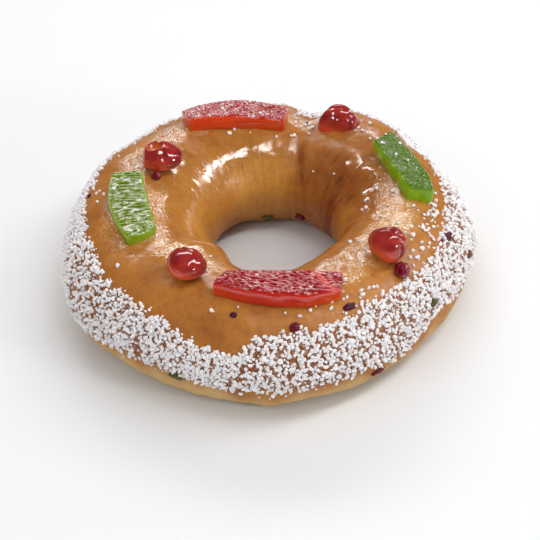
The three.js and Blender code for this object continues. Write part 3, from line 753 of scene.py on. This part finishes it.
angle = np.linspace(0, 2 * np.pi, 4000, endpoint=False)
tilt = np.linspace(np.pi, 0, 4000)
strip_pieces, crystal_middles = {}, []
for name, strip in STRIPS.items():
    proportions = np.array([strip["width"], strip["thickness"]]) / 2
    profile = even_steps(rounded(angle, STRIP_EDGE) * proportions, STRIP_COLUMNS, True) / proportions
    length = np.linalg.norm(np.subtract(strip["end"], strip["start"])) / 2
    stretch = np.array([length, strip["width"] / 2])
    along_and_size = even_steps(rounded(tilt, STRIP_END_EDGE) * stretch, STRIP_ROWS, False)[1:-1] / stretch
    rows = STRIP_ROWS - 2
    share = np.broadcast_to(0.5 + 0.5 * along_and_size[:, :1], (rows, STRIP_COLUMNS))
    side, up = along_and_size[:, 1:] * profile[:, 0], 0.5 + 0.5 * along_and_size[:, 1:] * profile[:, 1]
    topness = step_up(up, 0.93, 0.02)
    uneven = 1 + 0.8 * ripples(share[..., None] * 10, 3.0, strip["seed"] + 5)
    bulge = 0.03 * (1 - (2 * up - 1) ** 2) * uneven
    points = strip_place(strip, share, side * (1 + bulge), up, topness * strip_top(strip, share, side))
    ends = strip_place(strip, np.array([0.0, 1.0]), np.zeros(2), np.full(2, 0.5))
    piece = put_mesh(name + "_fruit", with_ends(points, *ends), *capped_grid(rows, STRIP_COLUMNS))
    bare = 0.6 * hump(past_shelf(strip, share, side) - 0.02, 0.05)
    # Painted glow: the ends, the lower sides, some strips' whole sides and the shelf's cut, as if lit through.
    painted_end_glow = hump(share - 1, 0.25) + 0.6 * hump(share, 0.12)
    painted_glow = np.maximum(np.maximum(painted_end_glow * (1.1 - up), strip["painted_side_glow"]) * (1 - topness), 0.3 * bare)
    # Sugar frost on the top, in part painted glints on the wrinkles.
    laid = strip["frost_and_glints"] * (0.75 + 0.5 * ripples(strip_grain(strip, share, side), 5, strip["seed"] + 30))
    marks = (topness * (1 - bare), laid * topness * (1 - bare), painted_glow, 1 - (1 - strip["wet"]) * topness)
    marks = with_ends(np.stack(marks, -1), (0, 0, 0.5, 1), (0, 0, 0.5, 1))
    for number, kind in enumerate(("top", "frosted_and_glinting", "painted_glow", "wet")):
        mark(piece, kind, np.clip(marks[:, number], 0, 1))
    grain = np.concatenate([strip_grain(strip, share, side), up[..., None] * 3], -1)
    mark(piece, "grain", with_ends(grain, grain[0, 0], grain[-1, 0]))
    strip_pieces[name] = piece
    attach(piece, "root")
    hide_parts(name)
    draw = np.random.default_rng(strip["seed"])
    share, side = draw.uniform(0.03, 0.97, strip["crystals"]), draw.uniform(-0.92, 0.92, strip["crystals"])
    swell = strip_top(strip, share, side) + 0.1
    crystal_middles.append(strip_place(strip, share, side, np.ones(share.shape), swell))
crystal_middles = np.concatenate(crystal_middles)
crystal_size = np.random.default_rng(64).triangular(0.3, 0.45, 1.0, len(crystal_middles))
crystals = nibs("strip_sugar", octahedron(), crystal_middles, crystal_size, 65)
crystals.data.materials.append(sugar_finish)
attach(crystals, "root")


def candied_strip_finish(name, side, painted_glow, top, light_travel):
    """Clear fruit jelly: its cut side, painted glow at its ends, and its darker, wet, wrinkled top under sugar."""
    finish, shader = new_finish(name, Subsurface_Weight=0.4, Subsurface_Radius=light_travel,
                                Subsurface_Scale=0.004, Coat_Roughness=0.07, Coat_IOR=1.7,
                                Specular_IOR_Level=0.1)
    where, grain = place_of(finish), read_mark(finish, "grain", "Vector")
    topness = read_mark(finish, "top")
    cloud = noise(finish, where, 160, 3)
    # Painted glow on the sides and ends, where light would shine through the jelly.
    body = blend(finish, read_mark(finish, "painted_glow"), side, painted_glow)
    body = blend(finish, reckon(finish, "MULTIPLY", topness, 0.9), body, top)
    body = blend(finish, spread(finish, cloud, 0.35, 0.7, 0, 0.25), body, top)
    crinkle, dust = noise(finish, grain, 1.6, 3, 0.6), noise(finish, where, 1700, 3, 0.6)
    speckled = spread(finish, dust, 0.35, 0.6, 0.3, 1)
    laid = reckon(finish, "MULTIPLY", spread(finish, crinkle, 0.54, 0.61), speckled)
    # Painted highlight in part: the frost lies pale on the ridges of the wrinkles as glints.
    frost_and_glints = reckon(finish, "MULTIPLY", laid, read_mark(finish, "frosted_and_glinting"))
    body = blend(finish, frost_and_glints, body, (0.80, 0.74, 0.72, 1))
    skin = bump(finish, cloud, 0.0005, 0.2)
    skin = bump(finish, reckon(finish, "MULTIPLY", crinkle, topness), 0.0004, 0.7, skin)
    skin = bump(finish, reckon(finish, "MULTIPLY", dust, topness), 0.00004, 0.5, skin)
    link(finish, shader, Base_Color=body, Normal=skin, Coat_Normal=skin,
         Roughness=between(finish, topness, 0.3, 0.4), Coat_Weight=read_mark(finish, "wet"))
    return finish


red_finish = candied_strip_finish("red_candied_fruit", (0.52, 0.020, 0.010, 1), (0.78, 0.085, 0.006, 1),
                                  (0.26, 0.007, 0.012, 1), (1.0, 0.16, 0.08))
green_finish = candied_strip_finish("green_candied_fruit", (0.21, 0.36, 0.002, 1), (0.24, 0.38, 0.003, 1),
                                    (0.11, 0.155, 0.006, 1), (0.8, 1.0, 0.1))
dark_green_finish = candied_strip_finish("dark_green_candied_fruit", (0.15, 0.37, 0.002, 1),
                                         (0.26, 0.44, 0.003, 1), (0.055, 0.095, 0.003, 1), (0.8, 1.0, 0.1))
strip_finishes = {"red_strip_front": red_finish, "red_strip_back": red_finish,
                  "green_strip_left": green_finish, "green_strip_right": dark_green_finish}
for name, piece in strip_pieces.items():
    piece.data.materials.append(strip_finishes[name])

# ------------------------------------------------------------------------------------------------------------
# Candied cherries. Four stoned cherries boiled in syrup until they are clear, each set a little into the
# dough beside a strip. One shows the hollow where the stone was. Syrup makes them glossy. A painted glow
# shows orange at their foot, on the side away from the light, and in the stone's hollow.
# ------------------------------------------------------------------------------------------------------------
# Place, half sizes and stand in the solid's terms, and lumps: direction, size in mm and sharpness.
CHERRIES = {
    "cherry_front_left": dict(place=(-43.5, -62.0), half=(9.4, 10.6, 7.2), stand=7.3,
                              lumps=((0.1, 0.6, 0.6, -0.6, 6), (0.8, -0.2, -0.3, 2.3, 6)), seed=71),
    "cherry_back_left": dict(place=(-59.8, 28.0), half=(11.0, 10.8, 7.4), stand=6.6,
                             lumps=((1, -0.1, -0.1, 2.7, 5), (-0.2, -0.7, -0.3, -1.6, 8),
                                    (-1, 0, 0.1, -2.4, 6), (0.3, -0.75, 0.6, -1.0, 14)), seed=72),
    "cherry_back_right": dict(place=(41.9, 62.2), half=(12.1, 8.3, 11.4), stand=-1.0,
                              lumps=((-0.4, -0.9, 0.2, -3.0, 5), (0, 0.4, 1, 2.3, 6)), seed=73),
    "cherry_front_right": dict(place=(61.0, -52.5), half=(10.4, 11.2, 10.6), stand=7.1,
                               lumps=((-0.2, 0.8, 0.9, -2.1, 6), (0.6, 0.1, 0.7, -0.8, 5),
                                      (-0.6, -0.6, -0.5, -2.1, 5)), seed=74),
}
# The stone's hollow in one of them: direction, depth in mm, half angle and softness of its rim in radians.
HOLLOW_CHERRY, HOLLOW_TOWARDS, HOLLOW_DEPTH = "cherry_back_left", (-0.22, 0.16, 0.96), 4.5
HOLLOW_WIDTH, HOLLOW_EDGE = 0.36, 0.05
# Folds where the skin shrank in drying: cherry, direction across the fold, direction of its middle, how far
# across it lies, its width, both as shares of the radius, and its depth in mm.
CHERRY_FOLDS = (
    ("cherry_front_right", (0.92, 0.1, -0.1), (0.1, -0.8, 0.3), 0.55, 0.10, 1.3),
    ("cherry_front_right", (0.5, 0.8, 0.2), (0.6, -0.2, 0.8), 0.25, 0.12, 0.9),
    ("cherry_back_left", (0.95, 0.2, 0.0), (0.2, 0.1, 1.0), 0.18, 0.12, 0.9),
    ("cherry_back_left", (-0.1, -0.2, -0.9), (-0.3, -0.9, 0.0), 0.25, 0.20, 0.9),
    ("cherry_back_right", (0.1, 0.6, 0.7), (0.1, -0.3, 0.9), 0.78, 0.07, 0.4),
    ("cherry_back_right", (0.95, -0.2, 0.1), (0.4, -0.7, 0.5), 0.66, 0.08, 0.5),
    ("cherry_front_left", (0.3, 0.7, 0.6), (-0.3, 0.2, 0.9), 0.84, 0.06, 0.4),
)


def round_fruit(fruit, rows, columns, crinkle):
    """Directions, reach and middle of a globe: its reach grows by a lump's size times e to its sharpness
    times the cosine from the lump less one, and is crinkled."""
    way = with_ends(ball(rows, columns), (0, 0, -1), (0, 0, 1))
    reach = crinkle * (ripples(way, 0.8, fruit["seed"]) + 0.3 * ripples(way, 0.35, fruit["seed"] + 100))
    for x, y, z, size, sharpness in fruit["lumps"]:
        towards = np.array([x, y, z]) / np.linalg.norm([x, y, z])
        reach = reach + size * np.exp(sharpness * (way @ towards - 1))
    return way, reach, np.array([*fruit["place"], crown_height(*fruit["place"]) + fruit["stand"]])


def cherry_shape(name, cherry):
    """Directions, points and hollowness of a cherry, with its folds and with the stone's hollow sunk in."""
    way, reach, middle = round_fruit(cherry, 70, 110, 0.10)
    for which, across, towards, at, width, depth in CHERRY_FOLDS:
        if which == name:
            near = step_up(way @ towards, 0.35, 0.12)
            reach = reach - depth * near * hump(way @ across / np.linalg.norm(across) - at, width)
    hollow = np.zeros(len(way))
    if name == HOLLOW_CHERRY:
        off = np.arccos(np.clip(way @ HOLLOW_TOWARDS / np.linalg.norm(HOLLOW_TOWARDS), -1, 1))
        hollow = 1 - step_up(off, HOLLOW_WIDTH, HOLLOW_EDGE)
        reach = reach - HOLLOW_DEPTH * hollow + 0.5 * hump(off - HOLLOW_WIDTH - 2 * HOLLOW_EDGE, 0.12)
    return way, middle + way * (np.array(cherry["half"]) + reach[:, None]), hollow


# Painted glow: the flesh turns orange on this side, as if light gathered in the fruit.
PAINTED_GLOW_TOWARDS = np.array((-0.45, -0.55, -0.70))  # the side away from the light, where it gathers in the fruit
cherry_finish, cherry_shader = new_finish(
    "candied_cherry", Subsurface_Weight=0.35, Subsurface_Radius=(1.0, 0.10, 0.06), Subsurface_Scale=0.005,
    Roughness=0.3, Coat_Weight=1.0, Coat_Roughness=0.05, Coat_IOR=1.6, Specular_IOR_Level=0.05,
)
where = place_of(cherry_finish)
cloud = noise(cherry_finish, where, 170, 3)
flesh = blend(cherry_finish, spread(cherry_finish, cloud, 0.35, 0.65),
              (0.33, 0.026, 0.021, 1), (0.19, 0.013, 0.015, 1))
# Painted glow: orange at the foot away from the light, and in the stone's hollow, as if light shone through.
flesh = blend(cherry_finish, read_mark(cherry_finish, "painted_glow"), flesh, (0.62, 0.070, 0.022, 1))
flesh = blend(cherry_finish, read_mark(cherry_finish, "hollow"), flesh, (0.68, 0.17, 0.030, 1))
skin = bump(cherry_finish, noise(cherry_finish, where, 300, 2, 0.4), 0.0003, 0.3)
link(cherry_finish, cherry_shader, Base_Color=flesh, Normal=skin, Coat_Normal=skin)
cherry_surfaces = {}
for name, cherry in CHERRIES.items():
    way, points, hollow = cherry_shape(name, cherry)
    cherry_surfaces[name] = way, points
    piece = put_mesh(name + "_fruit", points, *capped_grid(70, 110))
    mark(piece, "hollow", hollow)
    mark(piece, "painted_glow", 0.9 * step_up(way @ PAINTED_GLOW_TOWARDS, 0.42, 0.12))
    piece.data.materials.append(cherry_finish)
    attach(piece, "root")
    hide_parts(name)

# ------------------------------------------------------------------------------------------------------------
# Two small berries. Dried berries plumped in syrup, each lying against a cherry. They are dark, and have
# shrivelled into a few upright folds.
# ------------------------------------------------------------------------------------------------------------
BERRIES = {
    "berry_back_left": dict(place=(-61.0, 17.0), half=(2.8, 2.5, 2.5), stand=1.8, lumps=((0, 0, 1, 0.3, 6),),
                            seed=76),
    "berry_front_right": dict(place=(67.9, -62.3), half=(4.4, 4.8, 3.8), stand=2.0,
                              lumps=((0.6, 0.5, 0.4, -0.5, 5),), seed=77),
}
BERRY_FOLDS, BERRY_FOLD_DEPTH = 7, 0.16

berry_finish, berry_shader = new_finish(
    "candied_berry", Subsurface_Weight=0.2, Subsurface_Radius=(1.0, 0.1, 0.2), Subsurface_Scale=0.002,
    Roughness=0.3, Coat_Weight=1.0, Coat_Roughness=0.06, Specular_IOR_Level=0.1,
)
where = place_of(berry_finish)
skin_tone = blend(berry_finish, spread(berry_finish, noise(berry_finish, where, 500, 3), 0.4, 0.65),
                  (0.22, 0.006, 0.018, 1), (0.07, 0.002, 0.010, 1))
skin = bump(berry_finish, noise(berry_finish, where, 600, 2, 0.5), 0.0005, 0.4)
link(berry_finish, berry_shader, Base_Color=skin_tone, Normal=skin, Coat_Normal=skin)
for name, berry in BERRIES.items():
    way, reach, middle = round_fruit(berry, 40, 60, 0.10)
    around = np.arctan2(way[:, 1], way[:, 0])
    folds = np.cos(BERRY_FOLDS * around + 2 * way[:, 2]) * np.hypot(way[:, 0], way[:, 1])
    reach = reach + BERRY_FOLD_DEPTH * folds
    points = middle + way * (np.array(berry["half"]) + reach[:, None])
    piece = put_mesh(name + "_fruit", points, *capped_grid(40, 60))
    piece.data.materials.append(berry_finish)
    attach(piece, "root")
    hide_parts(name)

# ------------------------------------------------------------------------------------------------------------
# Nibs on the fruit. A few nibs of pearl sugar that fell on the right green strip and on the cherry beside it,
# and stuck in the syrup.
# ------------------------------------------------------------------------------------------------------------
# Share of the strip's length and side of its middle, size in mm. Then direction on the cherry, size in mm.
STRIP_NIBS = ((0.97, -0.79, 1.9), (0.87, -0.66, 2.1), (0.85, -0.48, 1.5), (0.77, 0.65, 2.4),
              (0.60, -0.31, 2.5), (0.47, 0.19, 2.1), (0.89, 0.90, 1.6), (0.33, 0.42, 1.1), (0.98, 0.2, 1.3))
CHERRY_NIBS = ((-0.27, -0.28, 0.92, 2.4), (-0.30, -0.48, 0.82, 2.2), (-0.09, -0.64, 0.76, 1.7),
               (0.5, 0.06, 0.86, 2.1))
share, side, strip_nib_size = np.transpose(STRIP_NIBS)
on_strip = strip_place(STRIPS["green_strip_right"], share, side, np.ones(share.shape), strip_nib_size * 0.25)
way, points = cherry_surfaces["cherry_back_right"]
nearest = np.argmax(way @ np.transpose(CHERRY_NIBS)[:3], axis=0)
on_cherry = points[nearest] - 0.4 * way[nearest]
nib_size = np.concatenate([strip_nib_size, np.transpose(CHERRY_NIBS)[3]])
fruit_nibs = nibs("pearl_sugar_on_fruit", icosahedron(), np.concatenate([on_strip, on_cherry]), nib_size, 46)
fruit_nibs.data.materials.append(sugar_finish)
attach(fruit_nibs, "root")

# ------------------------------------------------------------------------------------------------------------
# The studio. A plain pale floor and pale surroundings. A long narrow soft box high at the right, a small
# window at the front right and a narrow soft box at the back put the highlights on the glaze. Two wide soft
# boxes, at the front left and overhead, only fill the shadows: they and the surroundings do not show in the gloss.
# ------------------------------------------------------------------------------------------------------------
FLOOR_REACH, FLOOR_DROP = 3000.0, 0.1  # mm to each side of the hole's axis, and mm below the base
corner_sides = ((-1, -1), (1, -1), (1, 1), (-1, 1))
floor_corners = [(x * FLOOR_REACH, y * FLOOR_REACH, -FLOOR_DROP) for x, y in corner_sides]
floor = put_mesh("floor", np.array(floor_corners), np.array([[0, 1, 2, 3]]), smooth=False)
floor_finish, _ = new_finish("pale_floor", Base_Color=(0.70, 0.70, 0.71, 1), Roughness=0.6)
floor.data.materials.append(floor_finish)

# The camera looks at a point on the hole's axis: its distance in metres, how high it stands and its roll in
# degrees, then its focal length, the frame's side and where the target falls in the frame, in pixels.
TARGET = Vector((-OUTLINE_MIDDLE[0] * MM, -OUTLINE_MIDDLE[1] * MM, 0.025))
CAMERA_DISTANCE, CAMERA_ELEVATION, CAMERA_ROLL = 0.9, 39.8, -1.97
FOCAL_PIXELS, FRAME_PIXELS, TARGET_PIXEL = 1618.6, 540.0, (269.4, 240.3)


def soft_light(name, towards, distance, width, height, power, along=(1, 0, 0)):
    """A soft box that faces the ring from a distance, its width laid along a direction; metres and watts."""
    data = bpy.data.lights.new(name, "AREA")
    data.shape = "RECTANGLE"
    data.size, data.size_y, data.energy = width, height, power
    lamp = bpy.data.objects.new(name, data)
    facing = Vector(towards).normalized()
    upright = facing.cross(Vector(along)).normalized()
    lamp.location = TARGET + facing * distance
    lamp.rotation_mode = "QUATERNION"
    lamp.rotation_quaternion = Matrix((upright.cross(facing), upright, facing)).transposed().to_quaternion()
    bpy.context.collection.objects.link(lamp)
    return lamp


soft_light("softbox_right", (0.60, 0.05, 0.80), 1.5, 1.9, 0.17, 15, (-0.64, -0.53, 0.55))
soft_light("window_front_right", (0.79, -0.52, 0.34), 1.6, 0.22, 0.22, 6)
soft_light("back", (-0.05, 0.80, 0.60), 1.6, 1.5, 0.28, 12)
soft_light("front_left", (-0.55, -0.62, 0.56), 2.0, 2.0, 1.6, 14).visible_glossy = False
soft_light("ceiling", (-0.1, -0.15, 1.0), 1.9, 1.4, 1.4, 5).visible_glossy = False
surround = bpy.data.worlds.new("surround")
surround.use_nodes = True
surround.node_tree.nodes["Background"].inputs["Color"].default_value = (1.0, 1.0, 1.0, 1)
surround.node_tree.nodes["Background"].inputs["Strength"].default_value = 0.38
surround.cycles_visibility.glossy = False  # only the soft boxes and the floor show in the gloss
bpy.context.scene.world = surround
bpy.context.scene.view_settings.view_transform = "Standard"

elevation = np.radians(CAMERA_ELEVATION)
backwards = Vector((0, -np.cos(elevation), np.sin(elevation)))
lens = bpy.data.cameras.new("camera")
lens.sensor_width = 36
lens.lens = FOCAL_PIXELS / FRAME_PIXELS * lens.sensor_width
lens.shift_x = (FRAME_PIXELS / 2 - TARGET_PIXEL[0]) / FRAME_PIXELS
lens.shift_y = (TARGET_PIXEL[1] - FRAME_PIXELS / 2) / FRAME_PIXELS
camera = bpy.data.objects.new("camera", lens)
camera.location = TARGET + backwards * CAMERA_DISTANCE
camera.rotation_mode = "QUATERNION"
roll = Quaternion((0, 0, 1), np.radians(CAMERA_ROLL))
camera.rotation_quaternion = backwards.to_track_quat("Z", "Y") @ roll
bpy.context.collection.objects.link(camera)
bpy.context.scene.camera = camera
